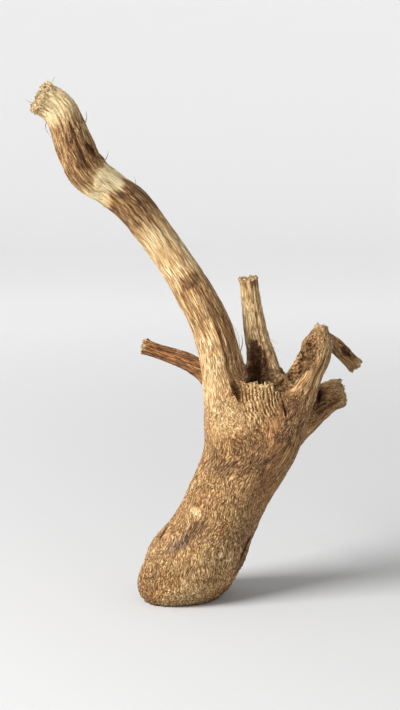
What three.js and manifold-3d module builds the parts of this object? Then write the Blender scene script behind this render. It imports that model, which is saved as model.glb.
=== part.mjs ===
// A piece of driftwood: one root stump, worn smooth by water, that stands on its flat foot.
// From its crown rise one long crooked branch, a short upright stub, a broken fork that hooks over
// into a small arm, a thick snapped stump behind it and a thin twig at the back.
// It is one solid of wood. Units are millimetres, +Z up, and the front is towards -Y.
import * as THREE from "three";
import { mergeVertices } from "three/addons/utils/BufferGeometryUtils.js";
import Module from "manifold-3d";

// Driving dimensions. The stations below were laid out on a piece LAID_OUT_HEIGHT tall,
// and everything scales with HEIGHT.
const LAID_OUT_HEIGHT = 394;
const HEIGHT = 394;
const SCALE = HEIGHT / LAID_OUT_HEIGHT;

const SIDES = 22; // faces round a limb
const RINGS = 3; // rings between two stations
const END_WIDTH = 0.82; // how wide a broken end is, as a share of the limb just below it
const FLOOR_WIDTH = 400; // the block that trims the foot
const FLOOR_DEPTH = 60;

// Each limb is a row of stations along its middle: x, y, z, then its radius across (seen from the
// front), its radius deep (front to back) and how far that section is turned in degrees, if it is.
// ribs are the low ridges that the grain leaves along it: how many go round, how high they stand as
// a share of the radius, how many turns they twist, and where they start. jag is how far the
// splinters of its broken end stand up.
const LIMBS = [
  {
    name: "trunk",
    level: true, // its sections stay level, as a stack of slices
    jag: 3,
    ribs: [
      { count: 2, height: 0.015, twist: 1.2, phase: 0.4 },
      { count: 5, height: 0.015, twist: -1.5, phase: 2.0 },
    ],
    stations: [
      [-7, 0, -12, 22, 20, 45],
      [-8.5, 1, 0, 35.5, 28, 45],
      [-6, 1, 14, 40, 36, 40],
      [1, 1, 30, 41, 37, 30],
      [7, 1, 46, 39.5, 36, 25],
      [17, 1, 62, 35, 34, 15],
      [25.5, 1, 80, 33.5, 32, 5],
      [34.5, 1, 99, 34, 31],
      [42, 1, 117, 35.5, 31],
      [45, 2, 135, 38, 31],
      [46, 3, 150, 37.5, 31],
      [48, 3, 161, 35, 30],
      [49.5, 2, 171, 30, 27],
    ],
  },
  {
    name: "heel_knot",
    jag: 0,
    ribs: [],
    stations: [
      [-2, -4, 18, 24, 20],
      [-13, -6, 33, 19, 17],
      [-24, -8, 45, 10, 10],
    ],
  },
  {
    name: "long_branch",
    jag: 2,
    ribs: [
      { count: 2, height: 0.045, twist: 0.5, phase: 1.0 },
      { count: 5, height: 0.03, twist: 1.0, phase: 0.0 },
    ],
    stations: [
      [38, 2, 92, 13, 14],
      [33, -4, 120, 17, 18],
      [27, -8, 152, 19.2, 19],
      [20.5, -5, 187, 16.5, 17],
      [12.5, 1, 213, 15.8, 16],
      [0, 7, 237, 15, 15.5],
      [-15.5, 13, 261, 14, 14.5],
      [-32.5, 16, 284, 14.3, 14.5],
      [-47, 16, 302, 14.6, 15],
      [-64, 13, 315.5, 14.2, 14.5],
      [-79.5, 9, 328, 15.8, 15.5],
      [-89, 5, 346, 15.6, 15],
      [-94, 2, 361, 14.3, 14],
      [-101, -1, 375, 13.8, 13.5],
      [-115.5, -4, 384.5, 13.2, 13],
    ],
  },
  {
    name: "back_twig",
    jag: 1.5,
    ribs: [{ count: 3, height: 0.05, twist: 0.8, phase: 0.3 }],
    stations: [
      [30, 6, 140, 12, 12],
      [14.5, 18, 168, 9.5, 9.5],
      [1.5, 24, 177.5, 8, 8],
      [-12.5, 30, 183.5, 7, 7],
      [-26.5, 35, 187.5, 6.3, 6.3],
      [-40.5, 38.5, 192, 6.8, 6.6],
    ],
  },
  {
    name: "upright_stub",
    jag: 1,
    ribs: [{ count: 4, height: 0.05, twist: 0.6, phase: 0.9 }],
    stations: [
      [50, 8, 128, 18, 16],
      [53.5, 12, 162, 16.5, 14],
      [52.6, 15, 182, 12.6, 12],
      [48.6, 17, 201, 9.8, 9.6],
      [44.3, 18, 226, 8.2, 8.2],
      [41.6, 19, 247.5, 7.7, 7.4],
    ],
  },
  {
    name: "fork",
    jag: 0.5,
    ribs: [{ count: 3, height: 0.05, twist: 0.5, phase: 2.2 }],
    stations: [
      [38, 0, 80, 17, 17],
      [50, -4, 104, 20, 20],
      [61, -7, 125, 20.5, 20],
      [70, -9, 143, 18, 18.5],
      [77.5, -9, 160, 15, 16.5],
      [85, -8, 176, 13.2, 15],
      [92, -5, 190, 12.4, 13.5],
      [95.5, -2, 202, 9.5, 10.5],
      [97, 1, 213, 4, 5],
    ],
  },
  {
    name: "hooked_arm",
    jag: 1,
    ribs: [{ count: 3, height: 0.06, twist: 0.4, phase: 0.5 }],
    stations: [
      [88, 0, 194, 7, 8],
      [97, 5, 199.5, 7, 7.6],
      [106.5, 11, 196.5, 6.6, 7],
      [116, 16.5, 187.5, 6.5, 6.8],
      [126, 21, 177.5, 6.4, 6.4],
    ],
  },
  {
    name: "snapped_stump",
    jag: 1.5,
    ribs: [{ count: 4, height: 0.05, twist: 0.6, phase: 1.4 }],
    stations: [
      [40, 2, 86, 12, 14],
      [56, 6, 107, 14, 16],
      [72, 13, 124, 13.2, 15],
      [85, 19, 137, 13.2, 14.2],
      [96, 24, 147.5, 13.4, 13.5],
      [106, 28, 153, 12.2, 12.4],
      [116, 31, 156, 11.4, 11.6],
    ],
  },
];

// Hollows where the heartwood has rotted away: the middle, the half axes, and the angles in radians
// by which each tips towards the back (about X) and leans to the right (about Y).
const HOLLOWS = [
  { name: "crown_pocket", middle: [46, 4, 182], half: [7.5, 10, 21], tip: 0.05, lean: -0.05 },
  { name: "crown_basin", middle: [54.5, -10, 168], half: [16, 12.5, 19], tip: 0, lean: 0.1 },
  { name: "fork_hollow", middle: [80, -16, 188], half: [9.5, 12, 21], tip: 0.1, lean: 0.5 },
];
const HOLLOW_LUMPS = 0.12; // how lumpy a hollow's wall is, as a share of its size
const HOLLOW_FACES = { round: 18, down: 12 };

const WEATHERED_WOOD = new THREE.MeshStandardMaterial({
  name: "weathered_wood",
  color: 0xb18a5f,
  roughness: 0.85,
  metalness: 0,
});

const wasm = await Module();
wasm.setup();

// A closed geometry as a manifold-3d solid, with its shared vertices merged.
function solidOf(geometry) {
  const bare = geometry.clone();
  bare.deleteAttribute("normal");
  bare.deleteAttribute("uv");
  const merged = mergeVertices(bare, 1e-3);
  const mesh = new wasm.Mesh({
    numProp: 3,
    vertProperties: new Float32Array(merged.attributes.position.array),
    triVerts: new Uint32Array(merged.index.array),
  });
  return new wasm.Manifold(mesh);
}

// A solid's surface as a three.js geometry.
function geometryOf(solid) {
  const { vertProperties, triVerts } = solid.getMesh();
  const geometry = new THREE.BufferGeometry();
  geometry.setAttribute("position", new THREE.BufferAttribute(new Float32Array(vertProperties), 3));
  geometry.setIndex(new THREE.BufferAttribute(new Uint32Array(triVerts), 1));
  geometry.computeVertexNormals();
  return geometry;
}

const placeAt = ([x, y, z]) => new THREE.Vector3(x, y, z).multiplyScalar(SCALE);
const girthAt = ([, , , across, deep]) => new THREE.Vector3(across, deep, 0).multiplyScalar(SCALE);
const turnAt = ([, , , , , turn = 0]) => new THREE.Vector3(THREE.MathUtils.degToRad(turn), 0, 0);

// A smooth curve through what vectorAt gives for each station.
function curveThrough(stations, vectorAt) {
  return new THREE.CatmullRomCurve3(stations.map(vectorAt), false, "catmullrom", 0.5);
}

// The outline of a straight spindle one unit wide and one tall, with a bevelled flat at each end.
function spindleProfile(steps) {
  const profile = [new THREE.Vector2(0, 0), new THREE.Vector2(END_WIDTH / 2, 0)];
  for (let i = 0; i <= steps; i++) {
    const width = i === 0 || i === steps ? END_WIDTH : 1;
    profile.push(new THREE.Vector2(width, i / steps));
  }
  profile.push(new THREE.Vector2(END_WIDTH / 2, 1), new THREE.Vector2(0, 1));
  return profile;
}

// The surface's distance from the middle, against a smooth limb's, at an angle and a share along.
function ribbed(ribs, angle, along) {
  const wave = (r) => r.height * Math.cos(r.count * angle + r.phase + 2 * Math.PI * r.twist * along);
  return ribs.reduce((sum, r) => sum + wave(r), 1);
}

// How far a point of a broken end stands out, against its jag: a low dome with three waves across it.
function splintered(x, z) {
  const dome = 1 - x * x - z * z;
  return dome + (Math.sin(5.1 * x + 1) + Math.sin(6.3 * z + 2) + Math.sin(4.7 * (x + z))) / 3;
}

// One limb: a lathe-turned spindle, widened and bent along the curve through its stations.
function limb({ stations, ribs, jag, level }) {
  const middle = curveThrough(stations, placeAt);
  const girth = curveThrough(stations, girthAt);
  const turns = curveThrough(stations, turnAt);
  const spindle = new THREE.LatheGeometry(spindleProfile((stations.length - 1) * RINGS), SIDES);
  const position = spindle.getAttribute("position");
  const towardsBack = new THREE.Vector3(0, 1, 0);
  const straightUp = new THREE.Vector3(0, 0, 1);
  for (let i = 0; i < position.count; i++) {
    const x = position.getX(i);
    const along = position.getY(i);
    const z = position.getZ(i);
    const tangent = level ? straightUp : middle.getTangent(along);
    const turn = turns.getPoint(along).x;
    const across = new THREE.Vector3().crossVectors(towardsBack, tangent).normalize();
    const forward = new THREE.Vector3().crossVectors(across, tangent);
    across.applyAxisAngle(tangent, turn);
    forward.applyAxisAngle(tangent, turn);
    const size = girth.getPoint(along).multiplyScalar(ribbed(ribs, Math.atan2(z, x), along));
    const lift = along === 1 ? jag * SCALE * splintered(x, z) : 0;
    const point = middle
      .getPoint(along)
      .addScaledVector(across, x * size.x)
      .addScaledVector(forward, z * size.y)
      .addScaledVector(tangent, lift);
    position.setXYZ(i, point.x, point.y, point.z);
  }
  return solidOf(spindle);
}

// The lumpy ball of air that one rotted hollow holds.
function hollow({ middle, half, tip, lean }) {
  const ball = new THREE.SphereGeometry(1, HOLLOW_FACES.round, HOLLOW_FACES.down);
  const position = ball.getAttribute("position");
  const turn = new THREE.Matrix4().makeRotationFromEuler(new THREE.Euler(tip, lean, 0));
  for (let i = 0; i < position.count; i++) {
    const p = new THREE.Vector3().fromBufferAttribute(position, i);
    const wave = Math.sin(5 * p.x + 1) * Math.sin(6 * p.y + 2) * Math.cos(5 * p.z);
    p.multiply(placeAt(half)).multiplyScalar(1 + HOLLOW_LUMPS * wave);
    p.applyMatrix4(turn).add(placeAt(middle));
    position.setXYZ(i, p.x, p.y, p.z);
  }
  return solidOf(ball);
}

// The block of air under the flat foot.
function belowTheFoot() {
  const block = new THREE.BoxGeometry(FLOOR_WIDTH, FLOOR_WIDTH, FLOOR_DEPTH);
  block.translate(0, 0, -FLOOR_DEPTH / 2).scale(SCALE, SCALE, SCALE);
  return solidOf(block);
}

const grown = LIMBS.map(limb).reduce((wood, next) => wood.add(next));
const rotted = HOLLOWS.map(hollow).reduce((wood, gap) => wood.subtract(gap), grown);
const standing = rotted.subtract(belowTheFoot());

const driftwood = new THREE.Mesh(geometryOf(standing), WEATHERED_WOOD);
driftwood.name = "driftwood";

const part = new THREE.Group();
part.add(driftwood);
export default part;
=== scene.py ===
# %% [markdown]
# # A piece of driftwood
# The real object is one root stump that a river has washed for years. The bark is long gone, the sapwood
# is bleached in bands, the fibres stand up as fine ridges, and the heartwood has rotted out of the crown.
# It is a single piece of wood, so here it is a single mesh, with its torn fibres as a second one: eight
# limbs are laid along curves, melted into one skin, hollowed, then given its grain as real relief.
# Everything below works on whole arrays of points.

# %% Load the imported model
import math

import bpy
import numpy as np
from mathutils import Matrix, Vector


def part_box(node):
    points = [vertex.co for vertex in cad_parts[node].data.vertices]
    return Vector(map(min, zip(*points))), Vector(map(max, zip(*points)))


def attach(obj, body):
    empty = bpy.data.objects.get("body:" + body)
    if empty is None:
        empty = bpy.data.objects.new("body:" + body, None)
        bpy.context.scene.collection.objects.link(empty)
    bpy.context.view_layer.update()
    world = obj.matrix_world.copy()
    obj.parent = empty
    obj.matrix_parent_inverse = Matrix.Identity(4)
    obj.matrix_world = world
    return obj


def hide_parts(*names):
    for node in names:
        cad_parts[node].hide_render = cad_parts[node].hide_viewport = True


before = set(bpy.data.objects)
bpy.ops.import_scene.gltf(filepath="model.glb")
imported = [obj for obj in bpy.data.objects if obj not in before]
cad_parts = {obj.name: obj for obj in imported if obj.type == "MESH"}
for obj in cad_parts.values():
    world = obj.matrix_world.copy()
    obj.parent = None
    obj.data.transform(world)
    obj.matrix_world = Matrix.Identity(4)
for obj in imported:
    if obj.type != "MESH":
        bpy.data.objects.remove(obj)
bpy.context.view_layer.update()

import openvdb
from mathutils import Vector

# %% [markdown]
# ## Measures
# The stations of the limbs were laid out in millimetres on a piece 393.8 mm tall. One number turns them
# into metres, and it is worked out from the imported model, so the wood stays as tall as the frame says.

# %% Measures
LAID_OUT_HEIGHT = 393.8
foot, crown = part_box("driftwood")
MM = (crown.z - foot.z) / LAID_OUT_HEIGHT
VOXEL = 0.72  # the size of one cell of the skin, in millimetres
MOST_TRIANGLES = 194_000
print("one laid-out millimetre is", round(MM, 8), "m")

# %% [markdown]
# ## The limbs
# A root stump is a bundle of round limbs that grew into each other. Each one is given by a few stations
# along its middle: x, y, z, its radius across and its radius front to back, and how far the section is
# turned, in degrees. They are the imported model's own stations, so the fine wood grows round the same
# curves. A limb could be a bevelled curve, but a row of stations gives an oval that changes along it.

# %% The limbs' stations
LIMBS = {
    "trunk": [
        (-7, 0, -12, 22, 20, 45), (-8.5, 1, 0, 35.5, 28, 45), (-6, 1, 14, 40, 36, 40),
        (1, 1, 30, 41, 37, 30), (7, 1, 46, 39.5, 36, 25), (17, 1, 62, 35, 34, 15),
        (25.5, 1, 80, 33.5, 32, 5), (34.5, 1, 99, 34, 31, 0), (42, 1, 117, 35.5, 31, 0),
        (45, 2, 135, 38, 31, 0), (46, 3, 150, 37.5, 31, 0), (48, 3, 161, 35, 30, 0),
        (49.5, 2, 171, 30, 27, 0),
    ],
    "heel_knot": [(-2, -4, 18, 24, 20, 0), (-13, -6, 33, 19, 17, 0), (-24, -8, 45, 10, 10, 0)],
    "long_branch": [
        (38, 2, 92, 13, 14, 0), (33, -4, 120, 17, 18, 0), (27, -8, 152, 19.2, 19, 0),
        (20.5, -5, 187, 16.5, 17, 0), (12.5, 1, 213, 15.8, 16, 0), (0, 7, 237, 15, 15.5, 0),
        (-15.5, 13, 261, 14, 14.5, 0), (-32.5, 16, 284, 14.3, 14.5, 0), (-47, 16, 302, 14.6, 15, 0),
        (-64, 13, 315.5, 14.2, 14.5, 0), (-79.5, 9, 328, 15.8, 15.5, 0), (-89, 5, 346, 15.6, 15, 0),
        (-94, 2, 361, 14.3, 14, 0), (-101, -1, 375, 13.8, 13.5, 0), (-115.5, -4, 384.5, 13.2, 13, 0),
    ],
    "back_twig": [
        (30, 6, 140, 12, 12, 0), (14.5, 18, 168, 9.5, 9.5, 0), (1.5, 24, 177.5, 8, 8, 0),
        (-12.5, 30, 183.5, 7, 7, 0), (-26.5, 35, 187.5, 6.3, 6.3, 0), (-40.5, 38.5, 192, 6.8, 6.6, 0),
    ],
    "upright_stub": [
        (50, 8, 128, 18, 16, 0), (53.5, 12, 162, 16.5, 14, 0), (52.6, 15, 182, 12.6, 12, 0),
        (48.6, 17, 201, 9.8, 9.6, 0), (44.3, 18, 226, 8.2, 8.2, 0), (41.6, 19, 247.5, 7.7, 7.4, 0),
    ],
    "fork": [
        (38, 0, 80, 17, 17, 0), (50, -4, 104, 20, 20, 0), (61, -7, 125, 20.5, 20, 0),
        (70, -9, 143, 18, 18.5, 0), (77.5, -9, 160, 15, 16.5, 0), (85, -8, 176, 13.2, 15, 0),
        (92, -5, 190, 12.4, 13.5, 0), (95.5, -2, 202, 9.5, 10.5, 0), (97, 1, 213, 4, 5, 0),
    ],
    "hooked_arm": [
        (88, 0, 194, 7, 8, 0), (97, 5, 199.5, 7, 7.6, 0), (106.5, 11, 196.5, 6.6, 7, 0),
        (116, 16.5, 187.5, 6.5, 6.8, 0), (126, 21, 177.5, 6.4, 6.4, 0),
    ],
    "snapped_stump": [
        (40, 2, 86, 12, 14, 0), (56, 6, 107, 14, 16, 0), (72, 13, 124, 13.2, 15, 0),
        (85, 19, 137, 13.2, 14.2, 0), (96, 24, 147.5, 13.4, 13.5, 0), (106, 28, 153, 12.2, 12.4, 0),
        (116, 31, 156, 11.4, 11.6, 0),
    ],
}
NAMES = list(LIMBS)
print(len(NAMES), "limbs with", sum(map(len, LIMBS.values())), "stations")

# %% Curves through the stations
STEP = 3.0  # millimetres between two rings of a limb


def through(knots, share):
    """A Catmull-Rom curve: between two knots it is the cubic whose slope at each knot is half the step from
    the knot before to the knot after. share runs from 0 at the first knot to 1 at the last."""
    knots = np.vstack([2 * knots[0] - knots[1], knots, 2 * knots[-1] - knots[-2]])
    place = share * (len(knots) - 3)
    i = np.clip(place.astype(int), 0, len(knots) - 4)
    f = (place - i)[:, None]
    a, b, c, d = knots[i], knots[i + 1], knots[i + 2], knots[i + 3]
    return b + 0.5 * f * (c - a + f * (2 * a - 5 * b + 4 * c - d + f * (3 * (b - c) + d - a)))


def unit(vectors):
    """Each vector divided by its own length."""
    return vectors / np.linalg.norm(vectors, axis=-1, keepdims=True)


def rings(name):
    """The rings of one limb: middles, how far along they are, radii, and the section's three directions.
    across = +Y x tangent and front = across x tangent, both turned about the tangent by the ring's angle."""
    stations = np.array(LIMBS[name], float)
    chord = np.linalg.norm(np.diff(stations[:, :3], axis=0), axis=1).sum()
    share = np.linspace(0, 1, int(chord / STEP) + 2)
    middle, girth = through(stations[:, :3], share), through(stations[:, 3:5], share)
    turn = np.radians(through(stations[:, 5:], share))
    along = np.append(0, np.cumsum(np.linalg.norm(np.diff(middle, axis=0), axis=1)))
    tangent = unit(np.gradient(middle, axis=0))
    if name == "trunk":
        tangent[:] = (0, 0, 1)
    across = unit(np.cross((0, 1, 0), tangent))
    front = np.cross(across, tangent)
    across, front = (
        across * np.cos(turn) - front * np.sin(turn),
        front * np.cos(turn) + across * np.sin(turn),
    )
    return {"middle": middle, "along": along, "girth": girth, "tangent": tangent, "across": across,
            "front": front}


RINGS = {name: rings(name) for name in NAMES}
LENGTHS = {name: float(RINGS[name]["along"][-1]) for name in NAMES}
print("lengths in millimetres:", {name: round(length) for name, length in LENGTHS.items()})

# %% [markdown]
# ## Noise
# Grown and worn wood is irregular at every scale, so nearly everything below is shaped by noise. Gradient
# noise is a smooth random function of a point in space: each corner of a grid of unit cells has a random
# direction, and the value inside a cell is a smooth mix of the eight corners' slopes. A fixed seed makes
# the same wood every time.

# %% Noise
def noise(points, seed=0):
    """Gradient noise, about -1 to 1: for each corner of the point's unit cell, the corner's random direction
    dotted with the way to the point, mixed with the weights 6t^5 - 15t^4 + 10t^3 along each axis."""
    random = np.random.default_rng(seed)
    shuffle = random.permutation(256).astype(np.int32)
    slopes = unit(random.normal(size=(256, 3))).astype(np.float32).T.copy()
    corner = np.floor(points)
    x, y, z = inside = (points - corner).astype(np.float32).T.copy()
    i, j, k = corner.astype(np.int32).T & 255
    fade = inside**3 * (inside * (inside * 6 - 15) + 10)
    total = np.zeros(len(points), np.float32)
    for a in (0, 1):
        hash_x = shuffle[i + a & 255] + j
        weight_x = fade[0] if a else 1 - fade[0]
        for b in (0, 1):
            hash_xy = shuffle[hash_x + b & 255] + k
            weight_xy = weight_x * (fade[1] if b else 1 - fade[1])
            for c in (0, 1):
                slope = slopes[:, shuffle[hash_xy + c & 255]]
                weight = weight_xy * (fade[2] if c else 1 - fade[2])
                total += weight * (slope[0] * (x - a) + slope[1] * (y - b) + slope[2] * (z - c))
    return total * 1.6


def layered(points, seed=0, layers=3):
    """Noise summed over layers, each twice as fine as the one before and half as strong."""
    total = sum(noise(points * 2.0**n, seed + n) * 0.5**n for n in range(layers))
    return total / (2 - 0.5 ** (layers - 1))


def ridged(points, seed=0):
    """1 along wandering crest lines and falling to 0 between them: 1 less the size of the noise, squared."""
    return (1 - np.clip(np.abs(noise(points, seed)) * 1.6, 0, 1)) ** 2


def smooth(low, high, x):
    """0 below low, 1 above high, and the curve 3t^2 - 2t^3 between them."""
    t = np.clip((x - low) / (high - low), 0, 1)
    return t * t * (3 - 2 * t)


# %% [markdown]
# ## One skin for eight limbs
# Where two limbs meet, living wood flows round the fork in a fillet. Joining eight tubes with a Boolean
# would leave creases there. Instead each limb is described by a distance: how far a point is outside its
# bark. The distances are blended so that they melt into each other where limbs come close, and the wood's
# skin is the surface where the blended distance is zero. The same sums give every point its place along
# the grain.

# %% Distance to a limb
FAR = 40.0  # distances are not worked out further away than this, in millimetres
CLUMP = 64  # points that lie together are looked at together


def limb_at(points, name):
    """For each point: the distance to the limb's side, the distance past its broken end, how far along it is,
    and its place round the limb as two numbers in millimetres. Between two rings the point is dropped onto
    the line between their middles; with u and v its offsets there, r = sqrt((u/a)^2 + (v/b)^2) is 1 on the
    oval, and the distance is the offset's length times (1 - 1/r)."""
    limb = RINGS[name]
    count = len(points)
    side = np.full(count, FAR, np.float32)
    along, u_best, v_best = (np.zeros(count, np.float32) for _ in range(3))
    clumps = np.append(points, np.repeat(points[-1:], -count % CLUMP, axis=0), axis=0).reshape(-1, CLUMP, 3)
    low, high = clumps.min(axis=1), clumps.max(axis=1)
    centre, radius = (low + high) / 2, np.linalg.norm(high - low, axis=1) / 2
    for k in range(len(limb["along"]) - 1):
        start, step = limb["middle"][k], limb["middle"][k + 1] - limb["middle"][k]
        length, tangent = np.linalg.norm(step), limb["tangent"][k]
        away = centre - start - step / 2
        near = (np.linalg.norm(away, axis=1) < radius + limb["girth"][k].max() + 12)
        near &= np.abs(away @ tangent) < radius + length / 2 + 3
        near = (np.flatnonzero(near)[:, None] * CLUMP + np.arange(CLUMP)).ravel()
        near = near[near < count]
        if not len(near):
            continue
        offset = points[near] - start.astype(np.float32)
        t = np.clip(offset @ tangent.astype(np.float32) / np.float32(step @ tangent), 0, 1)[:, None]
        offset -= t * step.astype(np.float32)
        wide, deep, across, front = (
            (value[k] + t * (value[k + 1] - value[k]).astype(np.float32)).astype(np.float32)
            for value in (limb["girth"][:, :1], limb["girth"][:, 1:], limb["across"], limb["front"])
        )
        u = np.einsum("ij,ij->i", offset, across)
        v = np.einsum("ij,ij->i", offset, front)
        past = offset @ tangent.astype(np.float32)
        oval = np.sqrt((u / wide[:, 0]) ** 2 + (v / deep[:, 0]) ** 2) + 1e-6
        gap = np.sqrt(u * u + v * v) * (1 - 1 / oval)
        gap = np.where(np.abs(past) > 1e-2, np.hypot(np.maximum(gap, 0), past) + np.minimum(gap, 0), gap)
        better = gap < side[near]
        chosen = near[better]
        round_off = (np.sqrt(wide * deep)[:, 0] / oval)[better]
        side[chosen] = gap[better]
        along[chosen] = limb["along"][k] + t[better, 0] * length
        u_best[chosen] = u[better] / wide[better, 0] * round_off
        v_best[chosen] = v[better] / deep[better, 0] * round_off
    beyond = (points - limb["middle"][-1]) @ limb["tangent"][-1]
    return side, beyond, along, u_best, v_best

# %% [markdown]
# ## Broken ends, hollows and cracks
# Every limb was torn off, and torn wood ends in splinters: its end is a plane with noise added, finer
# across the fibres than along them, and its rim is worn back. Rot and drying took more away. Each hollow
# is a lumpy egg of air, given by its middle, half its size each way and how it is turned. A crack is a
# very thin egg, given by its two ends on the bark and the way it goes into the wood. All of them are taken
# out of the blended distance, so their rims are rounded a little, as water leaves them.

# %% How limbs melt together, how ends break, and where wood is missing
MELT = 2.6  # the radius of the fillets between limbs, in millimetres
RAGGED = {  # how far each end's splinters stand up, in millimetres
    "trunk": 3.0, "heel_knot": 0.5, "long_branch": 3.4, "back_twig": 2.4,
    "upright_stub": 2.6, "fork": 2.2, "hooked_arm": 2.8, "snapped_stump": 3.6,
}
WORN_BACK = {  # how far each end's rim is worn back, in millimetres
    "trunk": 0.5, "heel_knot": 0.5, "long_branch": 1.8, "back_twig": 1.5,
    "upright_stub": 0.6, "fork": 1.0, "hooked_arm": 1.0, "snapped_stump": 1.4,
}
CRUMBLY = {  # how far down from each end the wood is torn and crumbly, in millimetres
    "trunk": 2.2, "heel_knot": 2.2, "long_branch": 7.0, "back_twig": 2.2,
    "upright_stub": 2.2, "fork": 5.0, "hooked_arm": 6.0, "snapped_stump": 9.0,
}
HOLLOWS = [  # name, middle, half size, turns about X, Y and Z in radians, and how lumpy its wall is
    ("crown pocket", (45.5, 4.5, 184), (7.4, 9.5, 23), (0.05, -0.03, 0), 2.6),
    ("crown basin", (54.5, -9, 167), (17, 12.5, 16), (0, 0.1, 0), 2.6),
    ("rotten side of the stub", (54.5, 1.5, 183), (10, 5.8, 18), (0, -0.1, 0), 3.0),
    ("pit beside the comb", (32.5, -24, 165.5), (1.8, 4.5, 8), (0, -0.3, 0), 1.2),
    ("fork hollow", (80, -15, 188), (10.5, 11, 21), (0.1, 0.5, 0), 4.2),
    ("torn flank of the fork", (69, -18, 174), (9, 7, 13), (0, 0.75, 0), 4.2),
    ("slot in the arm", (119, 10.5, 189.5), (3.0, 6, 8), (0, 2.3, 0), 1.0),
    ("pits in the tip", (-111, -9, 391.5), (4.5, 5, 2.6), (0, -0.5, 0), 2.2),
    ("bite in the tip", (-121, -8, 378), (2.4, 6, 2.0), (0, 0.5, 0), 1.6),
    ("hole by the foot", (14.6, -26, 7), (1.5, 4, 1.3), (0, 0, 0), 0.2),
    ("notch in the side", (53, -4, 59), (3.0, 7, 2.0), (0, 0.4, 0), 0.6),
    ("knot hole behind", (25, 37, 78), (4.5, 6, 6.5), (0, 0.3, 0), 1.2),
]
CRACKS = [  # name, one end, the other end, the way in, half its width and its depth
    ("crease by the fork", (66, -25, 160), (69.5, -27, 146), (0.1, 1, 0), 0.6, 3),
    ("crevice in the branch", (-80, -4.8, 350), (-73.5, -5, 339), (0.2, 0.95, 0.2), 1.2, 5),
    ("crack over the heel", (-25.6, -14, 48.5), (-20.8, -6.5, 57), (0.8, 0.55, -0.2), 1.4, 5),
    ("crack by the foot", (35.2, -17.5, 33), (42.9, -12.4, 51), (-0.6, 0.8, 0), 1.3, 6),
    ("gap behind the fork", (96, 11, 151), (98, 13, 172), (0.1, 1, 0), 1.7, 9),
    ("crack behind the trunk", (30, 33, 82), (46, 33, 126), (0, -1, 0), 0.8, 6),
    ("crack behind the foot", (-17, 31, 18), (-11, 33, 50), (0.2, -1, 0), 0.9, 6),
    ("crack up the branch", (18, 15.6, 219), (-6, 28.4, 263), (0.2, -0.9, 0.3), 0.7, 5),
    ("crack in the stub", (55, 6, 198), (51, 8, 230), (-0.3, 1, 0), 0.5, 3.5),
]


def turned_by(turns):
    """The matrix whose columns are the X, Y and Z directions after turns about X, then Y, then Z."""
    (cx, cy, cz), (sx, sy, sz) = np.cos(turns), np.sin(turns)
    about_x = np.array([(1, 0, 0), (0, cx, -sx), (0, sx, cx)])
    about_y = np.array([(cy, 0, sy), (0, 1, 0), (-sy, 0, cy)])
    about_z = np.array([(cz, -sz, 0), (sz, cz, 0), (0, 0, 1)])
    return about_z @ about_y @ about_x


def egg_of_crack(name, one, other, way_in, half_width, how_deep):
    """A crack as an egg: its three directions are across it, into the wood and along it. Across is the way in
    x along, and the way into the wood is along x across, so that all three stand at right angles."""
    one, other = np.array(one, float), np.array(other, float)
    along = unit(other - one)
    across = unit(np.cross(way_in, along))
    matrix = np.stack([across, np.cross(along, across), along], axis=1)
    return (one + other) / 2, (half_width, how_deep, np.linalg.norm(other - one) / 2), matrix, 0.6


EGGS = [(np.array(middle, float), half, turned_by(turns), lumps)
        for _, middle, half, turns, lumps in HOLLOWS]
EGGS += [egg_of_crack(*crack) for crack in CRACKS]
print(len(EGGS), "eggs of air")


def carved(points, wood):
    """The wood's distance with the hollows and cracks taken out: the larger of the wood's distance and the
    distance into the air, where the air of an egg is its offset's length times (1 - 1/e), e being 1 on it."""
    for n, (middle, half, matrix, lumps) in enumerate(EGGS):
        near = np.flatnonzero((np.abs(points - middle) < max(half) + 6).all(axis=1))
        if not len(near):
            continue
        local = (points[near] - middle) @ matrix
        local = local + lumps * 0.5 * np.stack([noise(local / 4 + 9.5, n), noise(local / 4, n + 40),
                                                noise(local / 6, n + 80)], axis=1)
        egg = np.linalg.norm(local / np.array(half), axis=1) + 1e-6
        air = np.linalg.norm(local, axis=1) * (1 - 1 / egg)
        air += lumps * 0.5 * noise(points[near] / 2.2, n + 120)
        wood[near] = rounded_max(wood[near], -air, 0.3)
    return wood


def rounded_max(a, b, r):
    """The larger of two distances, with the edge between them rounded over about r."""
    return np.maximum(a, b) + np.maximum(r - np.abs(a - b), 0) ** 2 / (4 * r)


def wood_at(points):
    """Everything known of each point: the wood's distance, the distance it had before anything broke or
    rotted, how torn it is, each limb's share in it, and each limb's own place along and round. The blended
    distance is -m log(sum of e^(-d/m)), and a limb's share is its own term over the sum."""
    sides, ends, alongs, us, vs, torn = [], [], [], [], [], []
    for n, name in enumerate(NAMES):
        side, beyond, along, u, v = limb_at(points, name)
        rag = np.zeros(len(points), np.float32)
        close = np.flatnonzero((np.abs(beyond) < 12) & (side < 8))
        if len(close):
            plane = points[close] - beyond[close, None] * RINGS[name]["tangent"][-1]
            rag[close] = RAGGED[name] * (0.8 * noise(plane / 5.0, n) + 0.9 * noise(plane / 1.8, n + 20))
        end = beyond - rag + WORN_BACK[name] * np.clip(1 + side / 9, 0, 1) ** 2
        sides.append(side)
        ends.append(rounded_max(side, end, 0.8))
        torn.append(smooth(-CRUMBLY[name], -0.4, end))
        alongs.append(along)
        us.append(u)
        vs.append(v)
    sides, ends = np.stack(sides), np.stack(ends)
    bark = -MELT * np.log(np.exp(-sides / MELT).sum(axis=0))
    share = np.exp(-ends / MELT)
    total = share.sum(axis=0)
    share /= total
    wood = -MELT * np.log(total)
    wood = rounded_max(carved(points, wood), -points[:, 2], 8)
    return {"wood": wood, "bark": bark, "share": share, "torn": (share * np.stack(torn)).sum(axis=0),
            "along": np.stack(alongs), "u": np.stack(us), "v": np.stack(vs)}


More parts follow.
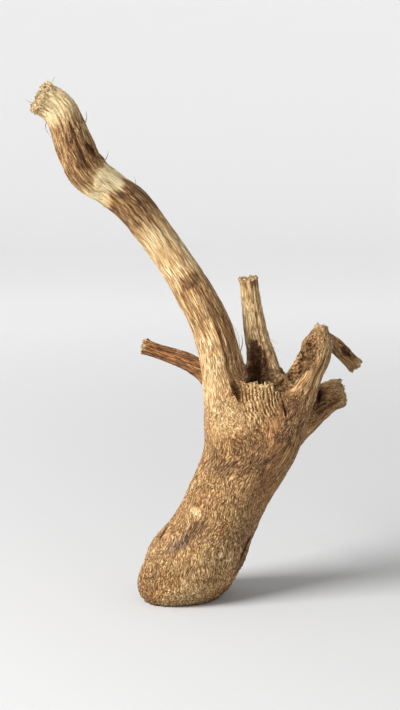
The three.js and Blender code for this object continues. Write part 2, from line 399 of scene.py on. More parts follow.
# %% [markdown]
# ## From distance to mesh
# The distance is needed only near the skin. Space is cut into cells, cells far from the skin are dropped,
# and the rest are cut smaller, until a cell is one voxel. OpenVDB then lays quads where the distance is
# zero. The Remesh modifier could skin joined tubes too, but it would have no fillets and would lose the
# thin cracks.

# %% Skin the wood
def skin(low, high):
    """The grid of distances between two corners: each pass looks at cell middles, fills the cells that are
    whole wood, and keeps those whose distance is under about half their diagonal."""
    sizes = (32, 8, 4, 1)
    counts = np.ceil((high - low) / (sizes[0] * VOXEL)).astype(int)
    field = np.full(counts * sizes[0], FAR, np.float32)
    cells = np.stack(np.meshgrid(*map(np.arange, counts), indexing="ij"), axis=-1).reshape(-1, 3)
    for size, smaller in zip(sizes, sizes[1:] + (0,)):
        middles = (low + (cells + 0.5) * size * VOXEL).astype(np.float32)
        distance = wood_at(middles)["wood"]
        blocks = field.reshape([n for count in field.shape for n in (count // size, size)])
        if size == 1:
            field[tuple(cells.T)] = distance
            break
        reach = 0.87 * 1.25 * size * VOXEL + 1.5
        inside = cells[distance < -reach]
        blocks[inside[:, 0], :, inside[:, 1], :, inside[:, 2], :] = -FAR
        cells = cells[np.abs(distance) <= reach] * (size // smaller)
        parts = np.stack(np.meshgrid(*[np.arange(size // smaller)] * 3, indexing="ij"), axis=-1)
        cells = (cells[:, None] + parts.reshape(1, -1, 3)).reshape(-1, 3)
    print("distances worked out at", len(cells), "of", field.size, "voxels")
    return np.clip(field, -3 * VOXEL, 3 * VOXEL)


def biggest_island(points, quads):
    """The largest connected skin, without the crumbs that rot cut loose. Every point takes the lowest number
    among its neighbours' until nothing changes, so that the points of an island share one number."""
    ends = np.concatenate([quads[:, [n, (n + 1) % 4]] for n in range(4)])
    island, lowest = None, np.arange(len(points))
    while island is None or (lowest != island).any():
        island = lowest
        lowest = island.copy()
        np.minimum.at(lowest, ends[:, 0], island[ends[:, 1]])
        np.minimum.at(lowest, ends[:, 1], island[ends[:, 0]])
        lowest = lowest[lowest]
    kept = island == np.bincount(island).argmax()
    print(len(np.unique(island)) - 1, "loose crumbs dropped")
    return points[kept], (np.cumsum(kept) - 1)[quads[kept[quads[:, 0]]]]


margin = np.array((6.0, 6.0, 6.0))
low = np.array(foot) / MM - margin
high = np.array(crown) / MM + margin
grid = openvdb.FloatGrid(3 * VOXEL)
grid.copyFromArray(skin(low, high))
points, quads = grid.convertToQuads(isovalue=0.0)
points, quads = biggest_island(points, quads)
points = (low + (points + 0.5) * VOXEL).astype(np.float32)
print(len(points), "points and", len(quads), "quads")

# %% [markdown]
# ## Relief
# Weathering eats the soft wood between the fibres and leaves the hard fibres standing. On the limbs that
# gives long furrows; on the swollen stump, where the fibres are short and interlocked, it gives fine
# crepe-like wrinkles; near the foot it breaks up into pits. Displacing the real points, not only bumping
# the shading, makes the outline uneven too. The relief is worked out in grain coordinates: two numbers
# round the limb and one along it, all in millimetres, blended from limb to limb by their shares so that
# the grain flows on.

# %% Grain coordinates
ROOTED_IN = {name: "fork" if name == "hooked_arm" else "trunk" for name in NAMES[1:]}


def grain_start(name):
    """How far up the grain a limb starts: where its root lies along the limb that bears it."""
    if name not in ROOTED_IN:
        return 0.0
    bearer = ROOTED_IN[name]
    return grain_start(bearer) + float(limb_at(RINGS[name]["middle"][:1].astype(np.float32), bearer)[2][0])


STARTS = np.array([grain_start(name) for name in NAMES], np.float32)[:, None]
known = wood_at(points)
share, along, z = known["share"], known["along"], points[:, 2]
of_limb = dict(zip(NAMES, share))
along_of = dict(zip(NAMES, along))
angle_of = {name: np.degrees(np.arctan2(v, u)) for name, u, v in zip(NAMES, known["u"], known["v"])}
stump = of_limb["trunk"] + of_limb["heel_knot"]
grain = np.stack([(share * known["u"]).sum(0), (share * known["v"]).sum(0),
                  (share * (STARTS + along)).sum(0)], axis=1)
SWIRL = 6  # how far the fibres of the stump wander from the straight, in millimetres
flow = np.stack([noise(points / 36, 21), noise(points / 36, 22)], axis=1)
flow = flow + 0.3 * noise(points / 15, 23)[:, None]
grain[:, :2] += SWIRL * (0.2 + stump)[:, None] * flow  # those of the limbs run nearly true
depth = np.maximum(-known["bark"], 0)  # how deep a point lies under the bark that once was
torn = known["torn"]
rot = smooth(1.2, 3.5, depth) * (1 - torn)
print("grain runs up to", round(float(grain[:, 2].max())), "mm")

# %% Furrows, wrinkles and pits
def across_grain(width, length):
    """Grain coordinates scaled so that one noise cell is width across the fibres and length along them."""
    return grain / np.array((width, width, length), np.float32)


def bump_at(name, middle, angle, half_length, half_width):
    """1 on a patch of a limb's side and 0 off it, with soft edges. The patch is given by how far along the
    limb its middle lies, its angle round it in degrees (0 is right, 90 is front), and half its size."""
    radius = np.hypot(known["u"], known["v"])[NAMES.index(name)]
    turn = (angle_of[name] - angle + 180) % 360 - 180
    over = np.hypot((along_of[name] - middle) / half_length, np.radians(turn) * radius / half_width)
    return of_limb[name] * (1 - smooth(0.6, 1.15, over + 0.25 * noise(points / 6, 31)))


waver = np.stack([noise(points / 9, n) for n in (1, 2, 3)], axis=1)
swell = layered(across_grain(20, 45), 4)
furrow = ridged(across_grain(3.6, 48) + 0.3 * waver, 5)
fibre = 0.5 + 0.6 * noise(across_grain(1.0, 18) + 0.25 * waver, 6)
wrinkle = 0.5 + 0.6 * noise(across_grain(1.4, 6.0) + 0.5 * waver, 7)
crepe = 0.5 + 0.6 * noise(across_grain(1.2, 3.6) + 0.5 * waver, 8)
pit = ridged(points / 2.6 + 0.4 * waver, 9)
crumb = ridged(points / 2.8 + 0.5 * waver, 10)
grit = layered(points / 1.9, 24, 2)

# %% [markdown]
# ## The comb and the ledge
# Two marks need a plainer rule than noise. Below the crown's rim the fibres stand in a row like the teeth
# of a comb, so there the relief is a sine wave across them. And the long branch has a ledge: to one side
# of a line the outer wood has come away in one strip, which leaves a step along the grain.

# %% The comb under the rim and the ledge on the branch
COMB_PITCH = 2.7  # millimetres from one tooth to the next
front = smooth(2, -12, points[:, 1])
comb_zone = smooth(136, 152, z + 3 * noise(points / 5, 25)) * smooth(31, 36, points[:, 0])
comb_zone *= smooth(74, 66, points[:, 0]) * stump * front
drop = np.maximum(170 - z, 0)
across_comb = points[:, 0] - 0.012 * drop**2 + 1.5 * noise(points / 7, 12)
comb = (0.5 + 0.5 * np.sin(2 * math.pi * across_comb / COMB_PITCH)) ** 1.5
comb = comb * (0.8 + 0.5 * noise(points / 5, 27))

branch_radius = np.hypot(known["u"], known["v"])[NAMES.index("long_branch")]
past_ledge = np.radians(79 - angle_of["long_branch"]) * branch_radius + 1.2 * noise(across_grain(9, 30), 26)
ledge = smooth(0, 1.3, past_ledge) * smooth(24, 12, past_ledge) * of_limb["long_branch"]
ledge *= smooth(66, 76, along_of["long_branch"]) * smooth(168, 120, along_of["long_branch"])

low_foot = smooth(62, 18, z) * stump
limbs = 1 - stump
tip = of_limb["long_branch"] * smooth(262, 275, along_of["long_branch"])

CHANNELS = [  # limb, along, angle, half length, half width, depth
    ("long_branch", 300, 101, 30, 1.1, 0.9), ("long_branch", 298, 74, 28, 1.3, 1.2),
    ("long_branch", 250, 140, 16, 1.4, 1.2), ("long_branch", 215, 60, 30, 1.6, 0.8),
    ("long_branch", 170, 250, 60, 2.0, 1.3), ("long_branch", 270, 300, 50, 2.0, 1.4),
    ("upright_stub", 75, 70, 26, 1.4, 0.8), ("back_twig", 70, 60, 24, 1.2, 0.6),
    ("fork", 105, 60, 30, 1.5, 1.0), ("snapped_stump", 92, 70, 16, 1.6, 1.0),
    ("trunk", 70, 265, 40, 2.2, 1.0),
]
channel = np.zeros(len(points), np.float32)
for name, middle, angle, half_length, half_width, how_deep in CHANNELS:
    channel = np.maximum(channel, how_deep * bump_at(name, middle, angle, half_length, half_width))

cracked = np.zeros(len(points), np.float32)
for middle, half, matrix, _ in EGGS[len(HOLLOWS):]:
    egg = np.linalg.norm((points - middle) @ matrix / np.array(half), axis=1)
    cracked = np.maximum(cracked, 1 - smooth(0.9, 1.5, egg))

MARKS = {  # how high or deep each mark stands, in millimetres
    "swell": 1.0, "ledge": 1.7, "furrow": 0.6, "furrow at the tip": 0.8, "fibre": 0.75,
    "fibre everywhere": 0.15, "wrinkle": 0.95, "crepe": 0.65, "comb": 1.4, "pit": 0.5,
    "rot": 1.8, "torn": 1.6, "grit": 0.7,
}
# Painted shade and dirt: how much each groove mark darkens the colour, for the dirt it holds and for the
# shade that falls in it.
DIRT_AND_SHADE = {  # how much dirt each mark holds, on a scale where 1 is full
    "furrow": 0.20, "fibre": 0.50, "wrinkle": 0.55, "crepe": 0.42, "pit": 0.35, "comb": 1.2, "channel": 0.3,
}
sound = (1 - rot) * (1 - 0.7 * torn)
relief = MARKS["swell"] * swell - channel - MARKS["ledge"] * ledge
relief -= sound * limbs * (MARKS["furrow"] + MARKS["furrow at the tip"] * tip) * furrow
relief -= sound * (limbs * MARKS["fibre"] + MARKS["fibre everywhere"]) * fibre
relief -= sound * stump * (1 - comb_zone) * (MARKS["wrinkle"] * wrinkle + MARKS["crepe"] * crepe)
relief -= sound * comb_zone * MARKS["comb"] * comb
relief -= sound * low_foot * MARKS["pit"] * pit
relief += (rot * MARKS["rot"] + torn * MARKS["torn"]) * (crumb - 0.5) + (rot + torn) * MARKS["grit"] * grit
relief *= 1 - cracked
# The valley mask darkens the colour in the grooves: partly dirt, partly painted shade where the grooves fall
# into shade.
on_limbs = limbs * (DIRT_AND_SHADE["furrow"] * furrow + DIRT_AND_SHADE["fibre"] * fibre)
on_stump = stump * (1 - comb_zone) * (DIRT_AND_SHADE["wrinkle"] * wrinkle + DIRT_AND_SHADE["crepe"] * crepe)
at_foot, in_comb = DIRT_AND_SHADE["pit"] * low_foot * pit, DIRT_AND_SHADE["comb"] * comb_zone * comb
valley = sound * (on_limbs + on_stump + at_foot + in_comb) + DIRT_AND_SHADE["channel"] * channel
print("relief from", round(float(relief.min()), 2), "to", round(float(relief.max()), 2), "mm")

# %% Put the skin into a mesh and raise its relief
def make_mesh(name, corners, faces):
    """A mesh from an array of corners in laid-out millimetres and an array of faces."""
    mesh = bpy.data.meshes.new(name)
    mesh.from_pydata((corners * MM).tolist(), [], faces.tolist())
    mesh.update()
    return mesh


def signed_volume(corners, faces):
    """The sum over fans of triangles of a . (b x c) / 6: positive when the faces point outwards."""
    a, b, c, d = (corners[faces[:, n]].astype(float) for n in range(4))
    return (np.einsum("ij,ij->", a, np.cross(b, c)) + np.einsum("ij,ij->", a, np.cross(c, d))) / 6


if signed_volume(points, quads) < 0:
    quads = quads[:, ::-1]
mesh = make_mesh("driftwood_wood", points, quads)
normals = np.empty(len(points) * 3, np.float32)
mesh.vertex_normals.foreach_get("vector", normals)
raised = points + normals.reshape(-1, 3) * relief[:, None]
raised[:, 2] = np.maximum(raised[:, 2], 0)
raised[points[:, 2] <= 1e-4, 2] = 0
mesh.vertices.foreach_set("co", (raised * MM).ravel())
wood = bpy.data.objects.new("driftwood_wood", mesh)
bpy.context.scene.collection.objects.link(wood)
print("volume", round(signed_volume(raised, quads) / 1000), "cm3")

# %% [markdown]
# ## Colour masks
# River wood is not one colour. Where sand and sun have scoured it, it is cream; where thin inner bark or
# tannin is left, it is brown; furrows hold dirt, and their darkening is painted shade as well; heartwood that
# has rotted is dark. Painted shade also darkens the cracks, the deep crown pocket, the arm's slot, the
# trunk's right side and the stump where the fork shades it. The masks are kept on the mesh as attributes,
# one number for each point, so that the material can mix its colours and finer grain by them.

# %% Colour masks
BRANCH_BANDS = [  # millimetres along the long branch, and how bleached it is there: 0 is brown, 1 is cream
    (60, 0.62), (84, 0.66), (108, 0.64), (132, 0.60), (150, 0.58), (162, 0.60), (170, 0.74), (206, 0.75),
    (214, 0.62), (226, 0.38), (248, 0.34), (253, 1.00), (268, 1.08), (274, 0.60), (280, 0.48), (318, 0.48),
    (324, 0.84), (331, 1.08), (347, 1.06),
]
LIMB_TONES = {  # how bleached the other limbs are
    "trunk": 0.54, "heel_knot": 0.62, "back_twig": 0.33, "upright_stub": 0.69, "fork": 0.46,
    "hooked_arm": 0.46, "snapped_stump": 0.42,
}
PATCHES = [  # limb, along, angle, half length, half width, how much lighter
    ("long_branch", 160, 78, 6, 11, -0.34), ("long_branch", 92, 130, 30, 7, 0.08),
    ("trunk", 166, 120, 12, 17, 0.20), ("trunk", 140, 100, 20, 30, -0.15),
    # The trunk's patch at 145 mm and 42 degrees is painted shade: it darkens the trunk's right side, which
    # faces away from the light.
    ("trunk", 145, 42, 40, 18, -0.28), ("upright_stub", 118, 90, 7, 12, -0.18),
    ("fork", 108, 62, 40, 6, 0.16), ("fork", 72, 80, 22, 12, -0.18),
    # The stump's patch at 84 mm is a painted shadow: the fork standing in front shades that side of the
    # stump.
    ("snapped_stump", 84, 120, 10, 12, -0.20), ("trunk", 20, 120, 16, 28, 0.18),
    ("trunk", 45, 105, 26, 32, 0.13), ("trunk", 45, 30, 30, 16, -0.10),
    ("long_branch", 343, 130, 9, 8, -0.30), ("long_branch", 296, 84, 20, 5, -0.22),
]
SPOTS = [  # name, middle, half size, turns, how much lighter and how much greyer
    ("bleached spot", (1.6, -24, 73.2), (6.0, 8, 3.6), (0, 0.6, 0), 0.42, 0.0),
    ("grey stain", (-12, -29.5, 50), (10, 9, 5.5), (0, -0.4, 0), -0.14, 0.48),
    ("tail of the stain", (1, -29, 61), (14, 9, 5), (0, -0.85, 0), -0.14, 0.1),
]


def spot(middle, half, turns):
    """1 inside an egg and 0 outside it, fading over its rim, which noise makes uneven."""
    local = (points - np.array(middle)) @ turned_by(turns)
    egg = np.linalg.norm(local / np.array(half), axis=1) + 0.35 * noise(points / 3.5, 32)
    return 1 - smooth(0.65, 1.2, egg)


drift = layered(points / 12, 14)
tone = sum(of_limb[name] * value for name, value in LIMB_TONES.items())
edge = 6 * noise(across_grain(9, 30), 15) + 2.5 * noise(across_grain(2.5, 12), 16)
tone += of_limb["long_branch"] * np.interp(along_of["long_branch"] + edge, *zip(*BRANCH_BANDS))
for name, middle, angle, half_length, half_width, lighter in PATCHES:
    tone += lighter * bump_at(name, middle, angle, half_length, half_width)
warm = np.clip(0.15 + 0.5 * layered(points / 25, 17) + 0.7 * of_limb["back_twig"], 0, 1)
grey = np.zeros(len(points), np.float32)
for _, middle, half, turns, lighter, greyer in SPOTS:
    inside = spot(middle, half, turns)
    tone += lighter * inside
    grey += greyer * inside
tone += 0.10 * drift - 0.22 * ledge
# Painted shade: deep in the crown pocket and in the arm's slot the rotted wood is darkened, and so is the
# inside of every crack, for the shade that falls there.
shaded_pockets = spot((45, 3, 180), (13, 16, 27), (0, 0, 0))  # in the crown, then in the arm
shaded_pockets = np.maximum(shaded_pockets, spot((119, 10.5, 189.5), (7, 9, 11), (0, 0, 0)))
crack_and_pocket_shade = np.maximum(0.7 * rot * shaded_pockets, cracked)
torn = np.maximum(torn, 0.8 * spot((-109, -7, 389), (9, 9, 4.5), (0, 0.5, 0)))
print("bleach from", round(float(tone.min()), 2), "to", round(float(tone.max()), 2))


def keep(mesh, name, values):
    """Stores one number, or one vector, for each point of a mesh."""
    vector = values.ndim == 2
    layer = mesh.attributes.new(name, "FLOAT_VECTOR" if vector else "FLOAT", "POINT")
    layer.data.foreach_set("vector" if vector else "value", values.astype(np.float32).ravel())


keep(mesh, "grain", grain)
for name, values in {"bleach_and_shade": tone, "valley": valley, "rot": rot, "torn": torn, "warm": warm, "grey": grey,
                     "crack_and_pocket_shade": crack_and_pocket_shade, "knit": stump}.items():
    keep(mesh, name, np.clip(values, 0, 1.2))

# %% Thin the mesh out where it is smooth
# Collapsing short edges first where the surface is flattest keeps the points for the ridges and the hollows.
triangles = 2 * len(quads)
if triangles > MOST_TRIANGLES:
    thin = wood.modifiers.new("thin", "DECIMATE")
    thin.ratio = MOST_TRIANGLES / triangles
    bpy.context.view_layer.update()
    thinned = bpy.data.meshes.new_from_object(wood.evaluated_get(bpy.context.evaluated_depsgraph_get()))
    wood.modifiers.clear()
    wood.data = mesh = thinned
mesh.shade_smooth()
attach(wood, "root")
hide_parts("driftwood")
print(len(mesh.vertices), "points and", len(mesh.polygons), "faces;", [a.name for a in mesh.attributes])

# %% [markdown]
# ## Torn fibres
# Here and there a fibre has come away and curls off the wood, and short splinters stand at the broken
# ends. They are too thin for the skin's voxels, so they are a piece of their own: each is a little horn, a
# four-sided tube along a bent line whose radius shrinks to almost nothing, with its root sunk in the wood.
# The long ones are placed one by one, and a root that would lie too shallow is sunk; the short ones grow
# from random points of the skin, where the wood is thick enough, along the grain and a little outwards.

# %% Horns
def horns(root, elbow, tip, thick, steps=8):
    """Many horns at once. The middle line is (1-t)^2 root + 2t(1-t) elbow + t^2 tip, with t from 0 to 1, and
    its radius is thick (1-t)^0.7, plus a little. Returns corners, faces and each corner's way along."""
    t = np.linspace(0, 1, steps)[None, :, None]
    middle = (1 - t) ** 2 * root[:, None] + 2 * t * (1 - t) * elbow[:, None] + t**2 * tip[:, None]
    tangent = unit(np.gradient(middle, axis=1))
    across = unit(np.cross(tangent, (0.31, 0.87, 0.38)))
    front = np.cross(across, tangent)
    radius = thick[:, None, None] * ((1 - t) ** 0.7 + 0.06)
    corners = np.stack([middle + radius * way for way in (across, front, -across, -front)], axis=2)
    ring = np.arange(len(root) * steps).reshape(-1, steps, 1) * 4 + np.arange(4)
    low, high = ring[:, :-1], ring[:, 1:]
    sides = np.stack([low, np.roll(low, -1, axis=2), np.roll(high, -1, axis=2), high], axis=-1)
    faces = np.concatenate([sides.reshape(-1, 4), ring[:, 0, ::-1], ring[:, -1]])
    way_along = t * np.linalg.norm(tip - root, axis=1)[:, None, None]
    way_along = np.broadcast_to(way_along, middle.shape[:2] + (4,))
    return corners.reshape(-1, 3), faces, way_along.ravel()


# %% Loose fibres and splinters
LOOSE = [  # root, elbow, tip and radius at the root, in millimetres
    ((-104, -3, 371), (-117, -7, 362), (-102.5, -4, 351), 0.42),
    ((-82, 2, 363), (-78.6, 0, 368), (-80.3, -3, 374), 0.40),
    ((-68.5, 7, 335), (-64, 4, 339), (-64, 2, 344), 0.34),
    ((-45, 13, 313), (-42.5, 10, 320), (-45.5, 6, 325), 0.36),
    ((40, 3, 189), (38, -5, 208), (25, -4, 218), 0.22),
    ((53, 8, 200), (59, 3, 197), (67, 0, 191), 0.26),
    ((51, 8, 206), (58, 4, 202), (65, 3, 197), 0.24),
    ((38, 4, 189), (39.5, 2, 199), (35.5, 0, 206), 0.45),
    ((-116, -4, 379), (-122, -6, 378), (-124.5, -8, 382), 0.40),
    ((-107, -5, 389), (-105, -7, 395), (-102.5, -7, 398.5), 0.40),
    ((-30, 30, 286), (-34, 36, 292), (-43, 37, 294), 0.3),
    ((22, 12, 205), (26, 19, 212), (24, 25, 220), 0.3),
    ((46, 33, 112), (52, 39, 118), (52, 41, 128), 0.3),
]
SHORT = {  # how many, the shortest and longest, how far they spread, and the radius at the root
    "skin": (260, 1.5, 4.5, 0.9, 0.26),
    "ends": (80, 1.2, 3.2, 0.35, 0.45),
}

SUNK = 2.4  # how deep a long fibre's root goes into the wood at least, in millimetres


def sunk(roots, step=0.5):
    """Roots that lie less than SUNK deep, moved down the slope of the wood's distance: each root becomes
    p - max(d + SUNK, 0) slope, where d is the distance, negative in the wood."""
    offsets = step * np.concatenate([np.zeros((1, 3)), np.eye(3), -np.eye(3)])
    d = wood_at((roots[:, None] + offsets).reshape(-1, 3).astype(np.float32))["wood"].reshape(-1, 7)
    return roots - np.maximum(d[:, :1] + SUNK, 0) * unit(d[:, 1:4] - d[:, 4:7])


random = np.random.default_rng(41)
normals = normals.reshape(-1, 3)
owner = share.argmax(axis=0)
roots, elbows, tips, thick = (np.array(column, float) for column in zip(*LOOSE))
moved = sunk(sunk(roots))
print("the long fibres' roots moved by", np.linalg.norm(moved - roots, axis=1).round(1).tolist(), "mm")
roots = moved
firm = wood_at((points - 1.6 * normals).astype(np.float32))["wood"] < -1.2  # not the edge of a thin crag
growing = {
    "skin": firm & (torn < 0.2) & (rot < 0.3) & (z > 25),
    "ends": firm & (torn > 0.6) & (rot < 0.5),
}
for where, allowed in growing.items():
    count, shortest, longest, spread, radius = SHORT[where]
    chosen = random.choice(np.flatnonzero(allowed), count, replace=False)
    along_grain = np.empty((count, 3))
    for n, name in enumerate(NAMES):
        mine = owner[chosen] == n
        stops = RINGS[name]["along"]
        place = np.searchsorted(stops, along[n][chosen[mine]]).clip(0, len(stops) - 1)
        along_grain[mine] = RINGS[name]["tangent"][place]
    ways = unit(along_grain + spread * (0.45 * normals[chosen] + 0.35 * random.normal(size=(count, 3))))
    length = random.uniform(shortest, longest, (count, 1))
    start = raised[chosen] - 0.8 * normals[chosen]
    bend = 0.25 * length * random.normal(size=(count, 3))
    roots, elbows = np.vstack([roots, start]), np.vstack([elbows, start + ways * length * 0.5 + bend * 0.4])
    tips = np.vstack([tips, start + ways * length + 0.3 * bend])
    thick = np.append(thick, radius * random.uniform(0.6, 1.0, count))

corners, faces, way_along = horns(roots, elbows, tips, thick)
if signed_volume(corners, faces) < 0:
    faces = faces[:, ::-1]
loose_mesh = make_mesh("torn_fibres", corners, faces)
loose_mesh.shade_smooth()
keep(loose_mesh, "grain", np.stack([corners[:, 0], corners[:, 1], way_along], axis=1))
keep(loose_mesh, "bleach_and_shade", np.full(len(corners), 0.42))
fibres = bpy.data.objects.new("torn_fibres", loose_mesh)
bpy.context.scene.collection.objects.link(fibres)
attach(fibres, "root")
print(len(roots), "loose fibres and splinters")

# %% [markdown]
# ## Wood
# The material is bare root wood, water-worn and sun-bleached. Bare wood has no varnish, so it is matt,
# with a faint sheen only where the fibres are polished. Its colour runs from dark tannin brown in the
# furrows, which is dirt and painted shade together, through tan to cream on the worn crests. The fine
# streaks are noise stretched along the grain attribute.

# %% Helpers for colours and nodes
def linear(code):
    """An sRGB hex colour as linear red, green, blue and 1. Each part c becomes c/12.92 below 0.04045, and
    otherwise ((c + 0.055) / 1.055)^2.4."""
    parts = [int(code[i : i + 2], 16) / 255 for i in (1, 3, 5)]
    return tuple(c / 12.92 if c <= 0.04045 else ((c + 0.055) / 1.055) ** 2.4 for c in parts) + (1.0,)


def add(tree, kind, inputs=(), **settings):
    """Adds a node of a kind, sets its settings, and fills its inputs: a socket is linked, a value is set."""
    node = tree.nodes.new(kind)
    for key, value in settings.items():
        setattr(node, key, value)
    for key, value in dict(inputs).items():
        if isinstance(value, bpy.types.NodeSocket):
            tree.links.new(value, node.inputs[key])
        else:
            node.inputs[key].default_value = value
    return node


def set_stops(node, stops):
    """Gives a colour ramp its stops: a place and a hex colour or a grey level each."""
    ramp = node.color_ramp
    while len(ramp.elements) < len(stops):
        ramp.elements.new(0.5)
    for element, (place, colour) in zip(ramp.elements, stops):
        element.position = place
        element.color = linear(colour) if isinstance(colour, str) else (colour, colour, colour, 1)
    return node.outputs["Color"]


# %% Weathered root wood: bare, water-worn, sun-bleached
def weathered_root_wood():
    """The bleach level with its painted side shade, less the grooves' dirt and painted shade, plus streaks,
    picks a colour from brown to cream; rot and tears go over it, and painted shade darkens the cracks and
    deep pockets.
    """
    material = bpy.data.materials.new("weathered_root_wood")
    material.use_nodes = True
    tree = material.node_tree
    tree.nodes.clear()

    def mask(name):
        """One of the numbers kept on the mesh."""
        return add(tree, "ShaderNodeAttribute", attribute_name=name).outputs["Fac"]

    def maths(operation, a, b, c=0.0):
        """One sum: MULTIPLY_ADD is a x b + c."""
        return add(tree, "ShaderNodeMath", {0: a, 1: b, 2: c}, operation=operation).outputs[0]

    def streaks(width, length, detail=3.0, warp=0.0):
        """Noise in grain coordinates, width across the fibres and length along them, in millimetres."""
        size = 1.0 / width, 1.0 / width, 1.0 / length
        grain = add(tree, "ShaderNodeAttribute", attribute_name="grain").outputs["Vector"]
        place = add(tree, "ShaderNodeMapping", {"Vector": grain, "Scale": size}).outputs["Vector"]
        inputs = {"Vector": place, "Scale": 1.0, "Detail": detail, "Roughness": 0.6, "Distortion": warp}
        return add(tree, "ShaderNodeTexNoise", inputs).outputs["Fac"]

    def specks(width, detail=3.0):
        """Noise the same size every way, in millimetres."""
        place = add(tree, "ShaderNodeTexCoord").outputs["Object"]
        inputs = {"Vector": place, "Scale": 1.0 / (width * MM), "Detail": detail, "Roughness": 0.65}
        return add(tree, "ShaderNodeTexNoise", inputs).outputs["Fac"]

    def ropes(width, length, warp):
        """Round strands with thin dark gaps: the smaller of 9 |streaks - 1/2| and 1."""
        between = maths("ABSOLUTE", maths("SUBTRACT", streaks(width, length, 1.0, warp), 0.5), 0.0)
        return maths("MINIMUM", maths("MULTIPLY", between, 9.0), 1.0)

    def by_knit(on_limbs, on_stump):
        """One pattern on the limbs and another on the stump."""
        inputs = {"Factor": mask("knit"), "A": on_limbs, "B": on_stump}
        return add(tree, "ShaderNodeMix", inputs).outputs["Result"]

    rope = by_knit(ropes(1.05, 20.0, 0.2), ropes(1.35, 6.0, 0.8))
    fibre = by_knit(streaks(0.48, 9.0, 4.0), streaks(0.55, 3.8, 4.0, 0.6))
    band, mottle, grit = streaks(2.2, 30.0), specks(7.0), specks(0.9)
    # Painted shade and dirt: the valley mask darkens the grooves, for the dirt in them and for the shade that
    # falls in them.
    level = maths("MULTIPLY_ADD", mask("valley"), -0.50, mask("bleach_and_shade"))
    for pattern, strength in ((rope, 0.42), (fibre, 1.45), (band, 0.22), (mottle, 0.12), (grit, 0.40)):
        level = maths("MULTIPLY_ADD", maths("SUBTRACT", pattern, 0.5), strength, level)
    level = maths("ADD", level, 0.04)
    colour = set_stops(add(tree, "ShaderNodeValToRGB", {"Fac": level}), [
        (0.0, "#40270f"), (0.22, "#76502a"), (0.45, "#a67f4e"), (0.65, "#caa775"), (0.82, "#e2c999"),
        (1.0, "#f6e5b6")])

    def over(colour, second, amount, kind="MIX"):
        """A second colour laid over the first by an amount."""
        return add(tree, "ShaderNodeMix", {"Factor": amount, "A": colour, "B": second}, data_type="RGBA",
                   blend_type=kind).outputs["Result"]

    def tint(code, base):
        """A colour multiplied by a hex colour."""
        return over(base, linear(code), 1.0, "MULTIPLY")

    colour = over(colour, tint("#ffdcae", colour), mask("warm"))
    greyed = add(tree, "ShaderNodeHueSaturation", {"Saturation": 0.68, "Value": 0.9, "Color": colour})
    colour = over(colour, greyed.outputs["Color"], mask("grey"))
    crumbs = set_stops(add(tree, "ShaderNodeValToRGB", {"Fac": specks(2.2)}), [
        (0.36, "#3b2511"), (0.48, "#694520"), (0.58, "#966a3b"), (0.70, "#c79d66")])
    colour = over(colour, crumbs, maths("MULTIPLY", mask("rot"), 0.9))
    # Painted shade: the inside of every crack and the rotted wood deep in the crown pocket and the arm's slot
    # are made nearly black.
    colour = over(colour, tint("#a37650", colour), mask("crack_and_pocket_shade"))
    ends = set_stops(add(tree, "ShaderNodeValToRGB", {"Fac": specks(1.6)}), [
        (0.34, "#5f3f20"), (0.47, "#a37d4d"), (0.62, "#e0c896")])
    colour = over(colour, ends, maths("MULTIPLY", mask("torn"), 0.8))

    height = maths("MULTIPLY_ADD", grit, 0.4, maths("MULTIPLY", rope, 0.45))
    height = maths("MULTIPLY_ADD", fibre, 0.8, height)
    bump = add(tree, "ShaderNodeBump", {"Height": height, "Distance": 1.3 * MM, "Strength": 1.0})
    rough = maths("MULTIPLY_ADD", mask("valley"), 0.2, 0.66)
    surface = add(tree, "ShaderNodeBsdfPrincipled", {
        "Base Color": colour, "Roughness": rough, "IOR": 1.45, "Normal": bump.outputs["Normal"]})
    add(tree, "ShaderNodeOutputMaterial", {"Surface": surface.outputs["BSDF"]})
    return material


bare_wood = weathered_root_wood()
for piece in (wood, fibres):
    piece.data.materials.clear()
    piece.data.materials.append(bare_wood)
print("wood material made")

# %% [markdown]
# ## Studio
# The wood stands on a plain white sweep: a floor that curls up into a wall all round, so that no edge
# shows from any side. The paper glows a little further out, as a lit wall would, and not beside the wood.
# A wide soft light from the front left gives its rounding, a weaker one from the right opens the shadows,
# and one overhead whitens the sweep.

# %% Sweep
def sweep(radius=3.6, bend=1.2, wall=4.2, around=96, steps=12):
    """A dish turned about Z: its profile is a flat floor, a quarter circle and an upright wall."""
    turn = np.linspace(0, math.pi / 2, steps + 1)[1:]
    curl = radius + bend * np.sin(turn)
    out = np.concatenate([[0.001], np.linspace(0.4, radius, 6), curl, [radius + bend]])
    up = np.concatenate([np.zeros(7), bend * (1 - np.cos(turn)), [wall]])
    angle = np.linspace(0, 2 * math.pi, around, endpoint=False)
    ring = np.stack([np.cos(angle), np.sin(angle)], axis=1)
    heights = np.broadcast_to(up[:, None, None], (len(out), around, 1))
    corners = np.concatenate([out[:, None, None] * ring, heights], axis=2)
    a = np.arange(len(out) - 1)[:, None] * around
    i, j = np.arange(around), (np.arange(around) + 1) % around
    faces = np.stack([a + i, a + around + i, a + around + j, a + j], axis=-1)
    return corners.reshape(-1, 3), faces.reshape(-1, 4)


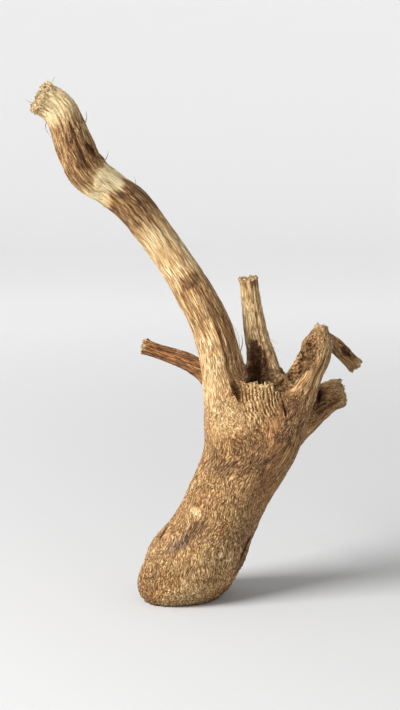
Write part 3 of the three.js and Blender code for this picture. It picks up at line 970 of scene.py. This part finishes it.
corners, faces = sweep()
backdrop = bpy.data.meshes.new("sweep")
backdrop.from_pydata(corners.tolist(), [], faces[:, ::-1].tolist())
backdrop.shade_smooth()
floor = bpy.data.objects.new("sweep", backdrop)
bpy.context.scene.collection.objects.link(floor)
paper = bpy.data.materials.new("white_paper_sweep")
paper.use_nodes = True
far_out = add(paper.node_tree, "ShaderNodeTexCoord").outputs["Object"]
far_out = add(paper.node_tree, "ShaderNodeVectorMath", {0: far_out}, operation="LENGTH").outputs["Value"]
glow = {"Value": far_out, "From Min": 0.1, "From Max": 2.2, "To Max": 0.38}  # metres out, then how strong
glow = add(paper.node_tree, "ShaderNodeMapRange", glow, interpolation_type="SMOOTHSTEP").outputs["Result"]
white = paper.node_tree.nodes["Principled BSDF"].inputs
white["Base Color"].default_value = linear("#c4c4c4")
white["Roughness"].default_value = 0.9
white["Specular IOR Level"].default_value = 0.0
white["Emission Color"].default_value = (1, 1, 1, 1)
paper.node_tree.links.new(glow, white["Emission Strength"])
backdrop.materials.append(paper)

# %% Lights and camera
TARGET = Vector((0.00466, 0, 0.18971))


def lamp(name, place, size, power, aim=TARGET):
    """A square area light at a place, turned to face aim, that the camera doesn't see."""
    data = bpy.data.lights.new(name, "AREA")
    data.size, data.energy = size, power
    light = bpy.data.objects.new(name, data)
    light.location = place
    light.rotation_euler = (aim - Vector(place)).to_track_quat("-Z", "Y").to_euler()
    light.visible_camera = False
    bpy.context.scene.collection.objects.link(light)


lamp("key", (-1.95, -1.25, 1.6), 1.5, 143)
lamp("fill", (0.9, -2.2, 1.2), 1.6, 1)
lamp("top", (-0.6, 0.3, 3.4), 3.2, 10)
world = bpy.data.worlds.new("studio")
world.use_nodes = True
world.node_tree.nodes["Background"].inputs["Color"].default_value = (1, 1, 1, 1)
world.node_tree.nodes["Background"].inputs["Strength"].default_value = 0.22
bpy.context.scene.world = world
bpy.context.scene.view_settings.view_transform = "Standard"

camera_data = bpy.data.cameras.new("camera")
camera_data.lens, camera_data.sensor_width = 85, 36
camera = bpy.data.objects.new("camera", camera_data)
TILT, DISTANCE = math.radians(8), 1.275
camera.location = TARGET + Vector((0, -math.cos(TILT), math.sin(TILT))) * DISTANCE
camera.rotation_euler = (math.pi / 2 - TILT, 0, 0)
bpy.context.scene.collection.objects.link(camera)
bpy.context.scene.camera = camera
